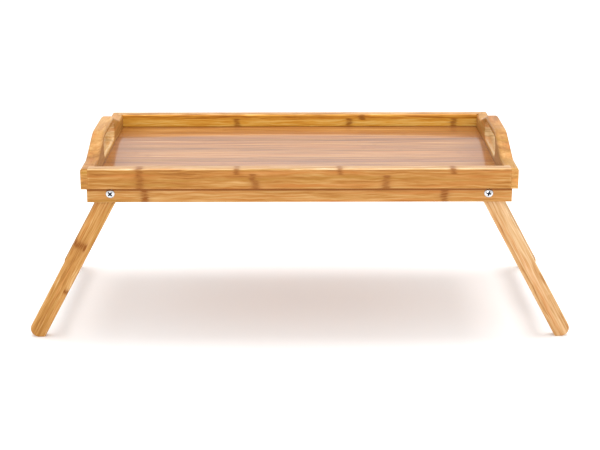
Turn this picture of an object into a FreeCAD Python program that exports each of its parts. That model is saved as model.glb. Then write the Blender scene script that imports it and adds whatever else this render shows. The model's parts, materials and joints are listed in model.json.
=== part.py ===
import FreeCAD, Part
import Sketcher
import math
import os
import re

# Folding tray table in laminated bamboo: a shallow tray with a raised, pierced handle at
# each end, on two U-shaped leg frames that fold in flat under the floor of the tray.
# Millimetres. The origin is on the floor, midway between the four feet.
# +X runs to the right along the tray, +Y to the back, +Z up.

DIMENSIONS = [
    ("tray_length", 500, "over the outer faces of the side panels"),
    ("tray_width", 300, "over the outer faces of the rails"),
    ("rim_height", 211.5, "floor to the top of the rails"),
    ("board_thickness", 15, "rails and side panels"),
    ("rail_height", 24, "depth of the rim"),
    ("lip_thickness", 8.5, "part of a side panel that covers the end of a rail"),
    ("edge_round", 3, "rounding of the rim and of the handles' outer edges"),
    ("handle_round", 4.5, "rounding of the handles' inner edges"),
    ("corner_round", 1.5, "upright corners of the rim"),
    ("small_round", 1, "sanded lower edges"),
    ("crown_rise", 19.5, "top of the handle above the rim"),
    ("crown_half", 32, "half the flat top of the handle"),
    ("shoulder_half", 112, "where the handle starts to rise, from the middle"),
    ("arch_radius", 57, "curves at the foot and the top of the rise"),
    ("hole_length", 98, "hand hole, end to end"),
    ("hole_height", 20, "hand hole, top to bottom"),
    ("hole_drop", 1, "middle of the hand hole below the rim"),
    ("hole_round", 5, "rounding round the hand hole"),
    ("floor_drop", 17, "rim to the tray's floor"),
    ("floor_thickness", 3, "floor panel"),
    ("groove_depth", 4, "floor panel into the boards"),
    ("lower_length", 488, "lower rails"),
    ("lower_thickness", 12, "lower rails"),
    ("lower_depth", 17, "lower frame, top to bottom"),
    ("lower_inset", 5, "lower rail behind the face of the rim"),
    ("stop_thickness", 9.2, "end rails of the lower frame, the legs' stops"),
    ("pivot_spacing", 434, "between the two pivot lines"),
    ("pivot_drop", 30.5, "rim to the pivots"),
    ("splay", 28.6, "open legs from the vertical, degrees"),
    ("leg_width", 20.6, "leg, seen from the front"),
    ("leg_thickness", 12, "leg, front to back"),
    ("side_play", 0.1, "free play each side of a leg"),
    ("toe_round", 10, "outer corner of a foot"),
    ("heel_round", 1.5, "inner corner of a foot"),
    ("leg_round", 1.5, "long edges of the legs and crossbars"),
    ("crossbar_distance", 140, "pivot to the crossbar's middle, along the leg"),
    ("crossbar_width", 20, "along the leg"),
    ("crossbar_thickness", 12, "across the leg"),
    ("dowel_radius", 3, "dowels of the crossbars"),
    ("dowel_length", 26, "dowels of the crossbars"),
    ("dowel_depth", 8, "dowel into a leg"),
    ("dowel_pitch", 10, "between the two dowels of a joint"),
    ("bolt_radius", 2.5, "pivot bolt shank"),
    ("bolt_clearance", 0.05, "bolt shank to the hole's wall"),
    ("bolt_reach", 32, "under the head to the tip"),
    ("bolt_head_radius", 5.2, "truss head"),
    ("bolt_head_height", 2.6, "truss head at its middle"),
    ("bolt_head_edge", 0.5, "truss head at its rim"),
    ("recess_span", 5.4, "cross recess, tip to tip"),
    ("recess_width", 1.4, "arm of the cross recess"),
    ("recess_depth", 1.7, "cross recess"),
    ("washer_thickness", 1, "all washers"),
    ("spacer_radius", 6.5, "washers between the rail and the leg"),
    ("nut_washer_radius", 5, "washers under the nuts"),
    ("nut_flats", 8, "lock nut across its flats"),
    ("nut_height", 3.8, "hexagon of the lock nut"),
    ("collar_radius", 3.7, "round collar of the lock nut"),
    ("collar_height", 1.2, "round collar of the lock nut"),
    ("screw_radius", 1.5, "wood screws"),
    ("screw_length", 30, "wood screws"),
    ("screw_head_radius", 2.7, "wood screws, countersunk head"),
    ("screw_inset", 8.9, "screw line from the outside of the rim"),
    ("rail_screw_step", 160, "between the screws of a lower rail"),
    ("stop_screw_half", 80, "screws of a stop rail from the middle"),
    ("brad_radius", 0.6, "corner brads"),
    ("brad_length", 22, "corner brads"),
    ("brad_sink", 0.5, "brad heads below the surface"),
    ("brad_inset", 6.5, "brads from the face of the rim"),
    ("brad_low", 11, "lower brad below the rim"),
    ("brad_high", 5.5, "upper brad below the rim"),
    ("spare_depth", 0.5, "pilot hole beyond the point of a screw"),
    ("glue_room", 0.3, "dowel hole beyond the end of a dowel"),
    ("overcut", 1, "how far a cut starts outside the wood"),
]

size = {name: value for name, value, note in DIMENSIONS}

# Distances that several pieces share, as formulas in the dimensions above.
RAIL_BOTTOM = "(rim_height - rail_height)"
LOWER_BOTTOM = "(rim_height - rail_height - lower_depth)"
PIVOT_HEIGHT = "(rim_height - pivot_drop)"
FLOOR_BOTTOM = "(rim_height - floor_drop - floor_thickness)"
FLOOR_SPAN = (FLOOR_BOTTOM, "(rim_height - floor_drop)")
HALF_LENGTH = "(tray_length / 2)"
HALF_WIDTH = "(tray_width / 2)"
WELL_HALF_LENGTH = "(tray_length / 2 - board_thickness)"
WELL_HALF_WIDTH = "(tray_width / 2 - board_thickness)"
LOWER_FACE = "(tray_width / 2 - lower_inset)"
LOWER_INNER = "(tray_width / 2 - lower_inset - lower_thickness)"
LEG_OUTER = "(tray_width / 2 - lower_inset - lower_thickness - washer_thickness - side_play)"
LEG_INNER = "(" + LEG_OUTER + " - leg_thickness)"
NUT_SEAT = "(" + LEG_INNER + " - side_play - washer_thickness)"
BORE = "(bolt_radius + bolt_clearance)"

doc = FreeCAD.newDocument("FoldingTrayTable")


def make_sheet():
    sheet = doc.addObject("Spreadsheet::Sheet", "Size")
    for row, (name, value, note) in enumerate(DIMENSIONS, start=1):
        sheet.set("A%d" % row, name)
        sheet.set("B%d" % row, str(value))
        sheet.setAlias("B%d" % row, name)
        sheet.set("C%d" % row, note)
    doc.recompute()


def bind(item, path, text):
    # Tie a property to a formula written in the names of the sheet.
    def name_in_sheet(word):
        return ("Size." if word.group() in size else "") + word.group()

    item.setExpression(path, re.sub(r"[a-z_]+", name_in_sheet, text))


def add_body(label):
    body = doc.addObject("PartDesign::Body", label)
    body.Label = label
    return body


def origin_plane(body, role):
    return [feature for feature in body.Origin.OriginFeatures if feature.Role == role][0]


def add_sketch(body, role, offset=None):
    # The normals are +Z on XY_Plane, -Y on XZ_Plane and +X on YZ_Plane.
    sketch = body.newObject("Sketcher::SketchObject", body.Label + "_sketch")
    sketch.AttachmentSupport = [(origin_plane(body, role), "")]
    sketch.MapMode = "FlatFace"
    if offset:
        bind(sketch, "AttachmentOffset.Base.z", offset)
    return sketch


def constrain(sketch, text, now, *constraint):
    # A dimension that starts at its present value and then follows the sheet.
    index = sketch.addConstraint(Sketcher.Constraint(*constraint, now))
    bind(sketch, "Constraints[%d]" % index, text)


def pin_point(sketch, shape, end, across, up):
    # Signed distances of a point from the sketch's origin.
    point = sketch.getPoint(shape, end)
    if across == "0":
        sketch.addConstraint(Sketcher.Constraint("PointOnObject", shape, end, -2))
    else:
        constrain(sketch, across, point.x, "DistanceX", -1, 1, shape, end)
    if up == "0":
        sketch.addConstraint(Sketcher.Constraint("PointOnObject", shape, end, -1))
    else:
        constrain(sketch, up, point.y, "DistanceY", -1, 1, shape, end)


def spot(across, up):
    return FreeCAD.Vector(across, up, 0)


def draw_line(sketch, start, end):
    return sketch.addGeometry(Part.LineSegment(start, end))


def draw_arc(sketch, centre, radius, first, last):
    circle = Part.Circle(centre, FreeCAD.Vector(0, 0, 1), radius)
    return sketch.addGeometry(Part.ArcOfCircle(circle, math.radians(first), math.radians(last)))


def draw_polygon(sketch, corners):
    # The corners start on a ring and are then pinned in their own places.
    count = len(corners)
    ring_radius = 50
    turn = 2 * math.pi / count
    ring = [spot(ring_radius * math.cos(turn * i), ring_radius * math.sin(turn * i)) for i in range(count)]
    first = sketch.GeometryCount
    for i in range(count):
        draw_line(sketch, ring[i], ring[(i + 1) % count])
    for i in range(count):
        sketch.addConstraint(Sketcher.Constraint("Coincident", first + i, 2, first + (i + 1) % count, 1))
    for i, (across, up) in enumerate(corners):
        pin_point(sketch, first + i, 1, across, up)


def draw_rectangle(sketch, left, right, low, high):
    draw_polygon(sketch, [(left, low), (right, low), (right, high), (left, high)])


def draw_circle(sketch, across, up, radius):
    circle = sketch.addGeometry(Part.Circle(spot(0, 0), FreeCAD.Vector(0, 0, 1), 1))
    pin_point(sketch, circle, 3, across, up)
    constrain(sketch, radius, 1, "Radius", circle)


def extrude(body, kind, sketch, length=None, both_ways=False, flipped=False):
    # A pad or a pocket; with no length it goes right through.
    feature = body.newObject("PartDesign::" + kind, body.Label + "_" + kind.lower())
    feature.Profile = sketch
    feature.SideType = "Symmetric" if both_ways else "One side"
    feature.Reversed = flipped
    if length is None:
        feature.Type = "ThroughAll"
    else:
        bind(feature, "Length", length)
    return feature


def mirror(body, originals, role):
    feature = body.newObject("PartDesign::Mirrored", body.Label + "_mirrored")
    feature.Originals = originals
    feature.MirrorPlane = (origin_plane(body, role), [""])
    body.Tip = feature


def dress(body, kind, path, amount, wanted):
    # A fillet or a chamfer on the edges that pass the test.
    doc.recompute()
    base = body.Tip
    names = ["Edge%d" % i for i, edge in enumerate(base.Shape.Edges, start=1) if wanted(edge)]
    if not names:
        raise ValueError("no edges to dress on " + body.Label)
    feature = body.newObject("PartDesign::" + kind, body.Label + "_" + kind.lower())
    feature.Base = (base, names)
    bind(feature, path, amount)
    return feature


def flat_at(edge, axis, place):
    # True when the whole edge lies at one place along an axis, 0 to 2 for X to Z.
    limits = edge.BoundBox
    low = (limits.XMin, limits.YMin, limits.ZMin)[axis]
    high = (limits.XMax, limits.YMax, limits.ZMax)[axis]
    return abs(low - place) < 0.01 and abs(high - place) < 0.01


def turn_half(body):
    # The same piece on the opposite side of the table.
    body.Placement = FreeCAD.Placement(spot(0, 0), FreeCAD.Rotation(FreeCAD.Vector(0, 0, 1), 180))


# Rim of the tray

def make_rim_rail(label):
    body = add_body(label)
    profile = add_sketch(body, "YZ_Plane")
    draw_rectangle(profile, "-" + HALF_WIDTH, "-" + WELL_HALF_WIDTH, RAIL_BOTTOM, "rim_height")
    extrude(body, "Pad", profile, "tray_length - 2 * lip_thickness", both_ways=True)

    face = -size["tray_width"] / 2
    rim = size["rim_height"]
    bottom = rim - size["rail_height"]

    def face_edge(height):
        return lambda edge: flat_at(edge, 1, face) and flat_at(edge, 2, height)

    dress(body, "Fillet", "Radius", "edge_round", face_edge(rim))
    dress(body, "Fillet", "Radius", "small_round", face_edge(bottom))

    # The inner top edge is rounded only between the side panels.
    inner = size["board_thickness"] - size["tray_width"] / 2
    radius = size["edge_round"]
    edge = add_sketch(body, "YZ_Plane")
    draw_line(edge, spot(inner, rim - radius), spot(inner, rim))
    draw_line(edge, spot(inner, rim), spot(inner - radius, rim))
    draw_arc(edge, spot(inner - radius, rim - radius), radius, 0, 90)
    edge.addConstraint(Sketcher.Constraint("Coincident", 0, 2, 1, 1))
    edge.addConstraint(Sketcher.Constraint("Coincident", 1, 2, 2, 2))
    edge.addConstraint(Sketcher.Constraint("Coincident", 2, 1, 0, 1))
    pin_point(edge, 0, 1, "-" + WELL_HALF_WIDTH, "rim_height - edge_round")
    pin_point(edge, 1, 1, "-" + WELL_HALF_WIDTH, "rim_height")
    pin_point(edge, 1, 2, "-" + WELL_HALF_WIDTH + " - edge_round", "rim_height")
    constrain(edge, "edge_round", radius, "Radius", 2)
    extrude(body, "Pocket", edge, "2 * " + WELL_HALF_LENGTH, both_ways=True)

    groove = add_sketch(body, "YZ_Plane")
    inner_face = "-" + WELL_HALF_WIDTH
    draw_rectangle(groove, inner_face + " - groove_depth", inner_face + " + overcut", *FLOOR_SPAN)
    extrude(body, "Pocket", groove, both_ways=True)

    pilots = add_sketch(body, "XY_Plane", RAIL_BOTTOM)
    for place in ("-rail_screw_step", "0", "rail_screw_step"):
        draw_circle(pilots, place, "-" + HALF_WIDTH + " + screw_inset", "screw_radius")
    extrude(body, "Pocket", pilots, "screw_length - lower_depth + spare_depth", flipped=True)

    brads = add_sketch(body, "YZ_Plane", HALF_LENGTH + " - lip_thickness")
    for drop in ("brad_low", "brad_high"):
        draw_circle(brads, "-" + HALF_WIDTH + " + brad_inset", "rim_height - " + drop, "brad_radius")
    holes = extrude(body, "Pocket", brads, "brad_length + brad_sink - lip_thickness")
    mirror(body, [holes], "YZ_Plane")
    return body


def draw_handle_outline(sketch):
    # Straight shoulders, a ramp between two equal arcs each side, and a flat crown.
    half = size["tray_width"] / 2
    low = size["rim_height"] - size["rail_height"]
    rim = size["rim_height"]
    top = rim + size["crown_rise"]
    foot = size["shoulder_half"]
    crown = size["crown_half"]
    radius = size["arch_radius"]
    gap = math.hypot(foot - crown, 2 * radius - size["crown_rise"])
    lean = math.atan2(2 * radius - size["crown_rise"], foot - crown)
    ramp = math.asin(2 * radius / gap) - lean
    low_end = spot(foot - radius * math.sin(ramp), rim + radius * (1 - math.cos(ramp)))
    high_end = spot(crown + radius * math.sin(ramp), top - radius * (1 - math.cos(ramp)))
    angle = math.degrees(ramp)

    def left(point):
        return spot(-point.x, point.y)

    draw_line(sketch, spot(-half, low), spot(half, low))
    draw_line(sketch, spot(half, low), spot(half, rim))
    draw_line(sketch, spot(half, rim), spot(foot, rim))
    draw_arc(sketch, spot(foot, rim + radius), radius, 270 - angle, 270)
    draw_line(sketch, low_end, high_end)
    draw_arc(sketch, spot(crown, top - radius), radius, 90 - angle, 90)
    draw_line(sketch, spot(crown, top), spot(-crown, top))
    draw_arc(sketch, spot(-crown, top - radius), radius, 90, 90 + angle)
    draw_line(sketch, left(high_end), left(low_end))
    draw_arc(sketch, spot(-foot, rim + radius), radius, 270, 270 + angle)
    draw_line(sketch, spot(-foot, rim), spot(-half, rim))
    draw_line(sketch, spot(-half, rim), spot(-half, low))

    for first, second in ((0, 1), (1, 2), (10, 11), (11, 0)):
        sketch.addConstraint(Sketcher.Constraint("Coincident", first, 2, second, 1))
    smooth_joints = (
        (2, 2, 3, 2), (3, 1, 4, 1), (4, 2, 5, 1), (5, 2, 6, 1),
        (6, 2, 7, 1), (7, 2, 8, 1), (8, 2, 9, 2), (9, 1, 10, 1),
    )
    for joint in smooth_joints:
        sketch.addConstraint(Sketcher.Constraint("Tangent", *joint))
    for arc in (3, 5, 7, 9):
        constrain(sketch, "arch_radius", radius, "Radius", arc)
    crown_height = "rim_height + crown_rise"
    pin_point(sketch, 0, 1, "-" + HALF_WIDTH, RAIL_BOTTOM)
    pin_point(sketch, 0, 2, HALF_WIDTH, RAIL_BOTTOM)
    pin_point(sketch, 1, 2, HALF_WIDTH, "rim_height")
    pin_point(sketch, 2, 2, "shoulder_half", "rim_height")
    pin_point(sketch, 6, 1, "crown_half", crown_height)
    pin_point(sketch, 6, 2, "-crown_half", crown_height)
    pin_point(sketch, 10, 1, "-shoulder_half", "rim_height")
    pin_point(sketch, 10, 2, "-" + HALF_WIDTH, "rim_height")


def draw_hand_hole(sketch):
    radius = size["hole_height"] / 2
    reach = size["hole_length"] / 2 - radius
    middle = size["rim_height"] - size["hole_drop"]
    draw_line(sketch, spot(-reach, middle - radius), spot(reach, middle - radius))
    draw_arc(sketch, spot(reach, middle), radius, -90, 90)
    draw_line(sketch, spot(reach, middle + radius), spot(-reach, middle + radius))
    draw_arc(sketch, spot(-reach, middle), radius, 90, 270)
    for joint in ((0, 2, 1, 1), (1, 2, 2, 1), (2, 2, 3, 1), (3, 2, 0, 1)):
        sketch.addConstraint(Sketcher.Constraint("Tangent", *joint))
    centre = "(hole_length - hole_height) / 2"
    pin_point(sketch, 1, 3, centre, "rim_height - hole_drop")
    pin_point(sketch, 3, 3, "-" + centre, "rim_height - hole_drop")
    constrain(sketch, "hole_height / 2", radius, "Radius", 1)
    constrain(sketch, "hole_height / 2", radius, "Radius", 3)


def make_side_panel(label):
    body = add_body(label)
    outline = add_sketch(body, "YZ_Plane", WELL_HALF_LENGTH)
    draw_handle_outline(outline)
    extrude(body, "Pad", outline, "board_thickness")

    outer = size["tray_length"] / 2
    inner = outer - size["board_thickness"]
    half = size["tray_width"] / 2
    rim = size["rim_height"]

    def on_face(edge):
        return flat_at(edge, 0, inner) or flat_at(edge, 0, outer)

    def on_rim(edge):
        return edge.BoundBox.ZMin > rim - size["edge_round"] - 0.01

    def at_end(edge):
        return flat_at(edge, 1, half) or flat_at(edge, 1, -half)

    def rim_outside(edge):
        return on_rim(edge) and (flat_at(edge, 0, outer) or at_end(edge))

    dress(body, "Fillet", "Radius", "corner_round", lambda edge: flat_at(edge, 0, outer) and at_end(edge))
    dress(body, "Fillet", "Radius", "edge_round", rim_outside)
    dress(body, "Fillet", "Radius", "handle_round", lambda edge: on_rim(edge) and flat_at(edge, 0, inner))

    # The rails end in a step cut from the inner face at both ends.
    cut_from = WELL_HALF_LENGTH + " - overcut"
    step_ends = (
        ("-" + HALF_WIDTH + " - overcut", "-" + WELL_HALF_WIDTH),
        (WELL_HALF_WIDTH, HALF_WIDTH + " + overcut"),
    )
    for first, last in step_ends:
        step = add_sketch(body, "XY_Plane")
        draw_rectangle(step, cut_from, HALF_LENGTH + " - lip_thickness", first, last)
        extrude(body, "Pocket", step, both_ways=True)

    groove = add_sketch(body, "XZ_Plane")
    draw_rectangle(groove, cut_from, WELL_HALF_LENGTH + " + groove_depth", *FLOOR_SPAN)
    extrude(body, "Pocket", groove, "2 * " + WELL_HALF_WIDTH, both_ways=True)

    hand_hole = add_sketch(body, "YZ_Plane")
    draw_hand_hole(hand_hole)
    extrude(body, "Pocket", hand_hole, both_ways=True)
    reach = size["hole_length"] / 2 + 0.01
    low = rim - size["hole_drop"] - size["hole_height"] / 2 - 0.01
    high = low + size["hole_height"] + 0.02

    def round_hole(edge):
        limits = edge.BoundBox
        inside = limits.YMax < reach and limits.YMin > -reach and limits.ZMin > low and limits.ZMax < high
        return inside and on_face(edge)

    dress(body, "Fillet", "Radius", "hole_round", round_hole)

    pilots = add_sketch(body, "XY_Plane", RAIL_BOTTOM)
    for place in ("-stop_screw_half", "stop_screw_half"):
        draw_circle(pilots, HALF_LENGTH + " - screw_inset", place, "screw_radius")
    extrude(body, "Pocket", pilots, "screw_length - lower_depth + spare_depth", flipped=True)

    brads = add_sketch(body, "YZ_Plane", HALF_LENGTH)
    for side in ("-", ""):
        line = side + "(" + HALF_WIDTH + " - brad_inset)"
        for drop in ("brad_low", "brad_high"):
            draw_circle(brads, line, "rim_height - " + drop, "brad_radius")
    extrude(body, "Pocket", brads, "lip_thickness + overcut")
    return body


def make_floor():
    body = add_body("tray_panel")
    outline = add_sketch(body, "XY_Plane", FLOOR_BOTTOM)
    long_edge = "(" + WELL_HALF_LENGTH + " + groove_depth)"
    short_edge = "(" + WELL_HALF_WIDTH + " + groove_depth)"
    draw_rectangle(outline, "-" + long_edge, long_edge, "-" + short_edge, short_edge)
    extrude(body, "Pad", outline, "floor_thickness")


def make_corner_brads():
    body = add_body("corner_brads")
    rounds = add_sketch(body, "YZ_Plane", HALF_LENGTH + " - brad_sink - brad_length")
    for side in ("-", ""):
        line = side + "(" + HALF_WIDTH + " - brad_inset)"
        for drop in ("brad_low", "brad_high"):
            draw_circle(rounds, line, "rim_height - " + drop, "brad_radius")
    mirror(body, [extrude(body, "Pad", rounds, "brad_length")], "YZ_Plane")


# Lower frame

def drill_for_screws(body, places):
    # Clearance holes from below, countersunk for flat heads.
    holes = add_sketch(body, "XY_Plane", LOWER_BOTTOM)
    for across, up in places:
        draw_circle(holes, across, up, "screw_radius")
    extrude(body, "Pocket", holes, flipped=True)
    bottom = size["rim_height"] - size["rail_height"] - size["lower_depth"]

    def mouth(edge):
        return flat_at(edge, 2, bottom) and edge.Closed

    dress(body, "Chamfer", "Size", "screw_head_radius - screw_radius", mouth)


def make_lower_rail(label):
    body = add_body(label)
    profile = add_sketch(body, "YZ_Plane")
    draw_rectangle(profile, "-" + LOWER_FACE, "-" + LOWER_INNER, LOWER_BOTTOM, RAIL_BOTTOM)
    extrude(body, "Pad", profile, "lower_length", both_ways=True)
    face = size["lower_inset"] - size["tray_width"] / 2
    end = size["lower_length"] / 2
    bottom = size["rim_height"] - size["rail_height"] - size["lower_depth"]

    def outer_edge(edge):
        low_edge = flat_at(edge, 2, bottom) and flat_at(edge, 1, face)
        corner = flat_at(edge, 1, face) and (flat_at(edge, 0, end) or flat_at(edge, 0, -end))
        return low_edge or corner

    dress(body, "Fillet", "Radius", "small_round", outer_edge)
    line = "-" + HALF_WIDTH + " + screw_inset"
    drill_for_screws(body, [("-rail_screw_step", line), ("0", line), ("rail_screw_step", line)])
    pivots = add_sketch(body, "XZ_Plane")
    for side in ("-", ""):
        draw_circle(pivots, side + "pivot_spacing / 2", PIVOT_HEIGHT, BORE)
    extrude(body, "Pocket", pivots, both_ways=True)
    return body


def make_stop_rail(label):
    body = add_body(label)
    profile = add_sketch(body, "XZ_Plane")
    inner_face = "lower_length / 2 - stop_thickness"
    draw_rectangle(profile, inner_face, "lower_length / 2", LOWER_BOTTOM, RAIL_BOTTOM)
    extrude(body, "Pad", profile, "2 * " + LOWER_INNER, both_ways=True)
    end = size["lower_length"] / 2
    bottom = size["rim_height"] - size["rail_height"] - size["lower_depth"]

    def low_edge(edge):
        return flat_at(edge, 0, end) and flat_at(edge, 2, bottom)

    dress(body, "Fillet", "Radius", "small_round", low_edge)
    line = HALF_LENGTH + " - screw_inset"
    drill_for_screws(body, [(line, "-stop_screw_half"), (line, "stop_screw_half")])
    return body


def make_screw(body, across, up):
    # A flat-headed screw, point up, as a half profile turned about its own axis.
    profile = add_sketch(body, "XZ_Plane", "-(" + up + ")")
    head = "(" + across + " + screw_head_radius)"
    wall = "(" + across + " + screw_radius)"
    neck = LOWER_BOTTOM + " + screw_head_radius - screw_radius"
    shoulder = LOWER_BOTTOM + " + screw_length - 2 * screw_radius"
    tip = LOWER_BOTTOM + " + screw_length"
    corners = [(across, LOWER_BOTTOM), (head, LOWER_BOTTOM), (wall, neck), (wall, shoulder), (across, tip)]
    draw_polygon(profile, corners)
    feature = body.newObject("PartDesign::Revolution", body.Label + "_turned")
    feature.Profile = profile
    feature.ReferenceAxis = (profile, ["Edge%d" % len(corners)])
    feature.Angle = 360
    return feature


def make_rail_screws():
    body = add_body("lower_rail_screws")
    line = "-" + HALF_WIDTH + " + screw_inset"
    turned = [make_screw(body, across, line) for across in ("-rail_screw_step", "0", "rail_screw_step")]
    mirror(body, turned, "XZ_Plane")


def make_stop_screws():
    body = add_body("stop_rail_screws")
    line = "(" + HALF_LENGTH + " - screw_inset)"
    turned = [make_screw(body, line, up) for up in ("-stop_screw_half", "stop_screw_half")]
    mirror(body, turned, "YZ_Plane")


# Leg frames, built round a pivot line at the origin of their own body, then put in place.

def place_on_pivot(body, side, tilted):
    lean = FreeCAD.Rotation(FreeCAD.Vector(0, -side, 0), size["splay"] if tilted else 0)
    body.Placement = FreeCAD.Placement(spot(0, 0), lean)
    bind(body, "Placement.Base.x", "%d * pivot_spacing / 2" % side)
    bind(body, "Placement.Base.z", PIVOT_HEIGHT)
    if tilted:
        bind(body, "Placement.Rotation.Angle", "splay")


def make_leg(label, side, end):
    # side is +1 on the right; end is -1 at the front and +1 at the back.
    body = add_body(label)
    half = size["leg_width"] / 2
    tilt = math.radians(size["splay"])
    height = size["rim_height"] - size["pivot_drop"]
    heel = height / math.cos(tilt) - half * math.tan(tilt)
    toe = heel + 2 * half * math.tan(tilt)
    left_foot, right_foot = (heel, toe) if side > 0 else (toe, heel)

    outline = add_sketch(body, "XZ_Plane", "%d * %s" % (-end, LEG_INNER))
    draw_line(outline, spot(-half, 0), spot(-half, -left_foot))
    draw_line(outline, spot(-half, -left_foot), spot(half, -right_foot))
    draw_line(outline, spot(half, -right_foot), spot(half, 0))
    draw_arc(outline, spot(0, 0), half, 0, 180)
    for first, second in ((0, 1), (1, 2)):
        outline.addConstraint(Sketcher.Constraint("Coincident", first, 2, second, 1))
    outline.addConstraint(Sketcher.Constraint("Tangent", 2, 2, 3, 1))
    outline.addConstraint(Sketcher.Constraint("Tangent", 3, 2, 0, 1))
    outline.addConstraint(Sketcher.Constraint("Coincident", 3, 3, -1, 1))
    slope = "leg_width / 2 * tan(splay)"
    heel_text = "-(" + PIVOT_HEIGHT + " / cos(splay) - " + slope + ")"
    toe_text = "-(" + PIVOT_HEIGHT + " / cos(splay) + " + slope + ")"
    left_text, right_text = (heel_text, toe_text) if side > 0 else (toe_text, heel_text)
    pin_point(outline, 0, 2, "-leg_width / 2", left_text)
    pin_point(outline, 1, 2, "leg_width / 2", right_text)
    extrude(body, "Pad", outline, "leg_thickness", flipped=end > 0)

    def corner_at(edge, across, down):
        return flat_at(edge, 0, across) and flat_at(edge, 2, -down)

    def on_face(edge):
        return edge.BoundBox.YLength < 0.01

    dress(body, "Fillet", "Radius", "toe_round", lambda edge: corner_at(edge, side * half, toe))
    dress(body, "Fillet", "Radius", "heel_round", lambda edge: corner_at(edge, -side * half, heel))
    dress(body, "Fillet", "Radius", "leg_round", on_face)

    bore = add_sketch(body, "XZ_Plane")
    draw_circle(bore, "0", "0", BORE)
    extrude(body, "Pocket", bore, both_ways=True)
    sockets = add_sketch(body, "XZ_Plane", "%d * %s" % (-end, LEG_INNER))
    for shift in ("-", "+"):
        draw_circle(sockets, "0", "-(crossbar_distance %s dowel_pitch / 2)" % shift, "dowel_radius")
    extrude(body, "Pocket", sockets, "dowel_depth + glue_room", flipped=end < 0)
    place_on_pivot(body, side, tilted=True)


def make_crossbar(label, side):
    body = add_body(label)
    section = add_sketch(body, "XZ_Plane")
    low = "-(crossbar_distance + crossbar_width / 2)"
    high = "-(crossbar_distance - crossbar_width / 2)"
    draw_rectangle(section, "-crossbar_thickness / 2", "crossbar_thickness / 2", low, high)
    extrude(body, "Pad", section, "2 * " + LEG_INNER, both_ways=True)
    dress(body, "Fillet", "Radius", "leg_round", lambda edge: edge.BoundBox.YLength > 10)
    sockets = add_sketch(body, "XZ_Plane", LEG_INNER)
    for shift in ("-", "+"):
        draw_circle(sockets, "0", "-(crossbar_distance %s dowel_pitch / 2)" % shift, "dowel_radius")
    holes = extrude(body, "Pocket", sockets, "dowel_length - dowel_depth + glue_room")
    mirror(body, [holes], "XZ_Plane")
    place_on_pivot(body, side, tilted=True)


def make_crossbar_dowels(label, side):
    body = add_body(label)
    rounds = add_sketch(body, "XZ_Plane", LEG_INNER + " + dowel_depth - dowel_length")
    for shift in ("-", "+"):
        draw_circle(rounds, "0", "-(crossbar_distance %s dowel_pitch / 2)" % shift, "dowel_radius")
    mirror(body, [extrude(body, "Pad", rounds, "dowel_length")], "XZ_Plane")
    place_on_pivot(body, side, tilted=True)


# Pivot hardware, one at the front and its mirror image at the back

def make_pivot_bolts(label, side):
    body = add_body(label)
    seat = -(size["tray_width"] / 2 - size["lower_inset"])
    top = seat - size["bolt_head_height"]
    brim = seat - size["bolt_head_edge"]
    head = size["bolt_head_radius"]
    dome = (head ** 2 + (brim - top) ** 2) / (2 * (brim - top))
    sweep = math.degrees(math.asin(head / dome))

    profile = add_sketch(body, "YZ_Plane")
    draw_arc(profile, spot(top + dome, 0), dome, 180 - sweep, 180)
    shank = size["bolt_radius"]
    tip = seat + size["bolt_reach"]
    points = [(brim, head), (seat, head), (seat, shank), (tip, shank), (tip, 0), (top, 0)]
    for start, stop in zip(points, points[1:]):
        draw_line(profile, spot(*start), spot(*stop))
    for first in range(1, 5):
        profile.addConstraint(Sketcher.Constraint("Coincident", first, 2, first + 1, 1))
    profile.addConstraint(Sketcher.Constraint("Coincident", 0, 1, 1, 1))
    profile.addConstraint(Sketcher.Constraint("Coincident", 5, 2, 0, 2))
    profile.addConstraint(Sketcher.Constraint("PointOnObject", 0, 3, -1))
    seat_text = "-" + LOWER_FACE
    pin_point(profile, 1, 1, seat_text + " - bolt_head_edge", "bolt_head_radius")
    pin_point(profile, 2, 1, seat_text, "bolt_head_radius")
    pin_point(profile, 3, 1, seat_text, "bolt_radius")
    pin_point(profile, 4, 1, seat_text + " + bolt_reach", "bolt_radius")
    pin_point(profile, 5, 1, seat_text + " + bolt_reach", "0")
    pin_point(profile, 5, 2, seat_text + " - bolt_head_height", "0")
    turned = body.newObject("PartDesign::Revolution", body.Label + "_turned")
    turned.Profile = profile
    turned.ReferenceAxis = (profile, ["H_Axis"])
    turned.Angle = 360

    cross = add_sketch(body, "XZ_Plane", LOWER_FACE + " + bolt_head_height")
    arm = "recess_span / 2"
    side_of_arm = "recess_width / 2"
    outline = []
    for right, up in (("", "-"), ("", ""), ("-", ""), ("-", "-")):
        tall = (right + side_of_arm, up + arm)
        inner = (right + side_of_arm, up + side_of_arm)
        wide = (right + arm, up + side_of_arm)
        outline += [tall, inner, wide] if right != up else [wide, inner, tall]
    draw_polygon(cross, outline)
    recess = extrude(body, "Pocket", cross, "recess_depth")
    mirror(body, [turned, recess], "XZ_Plane")
    place_on_pivot(body, side, tilted=False)


def make_washers(label, side, inner_face, radius):
    body = add_body(label)
    ring = add_sketch(body, "XZ_Plane", inner_face)
    draw_circle(ring, "0", "0", radius)
    draw_circle(ring, "0", "0", BORE)
    mirror(body, [extrude(body, "Pad", ring, "washer_thickness")], "XZ_Plane")
    place_on_pivot(body, side, tilted=False)


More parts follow.
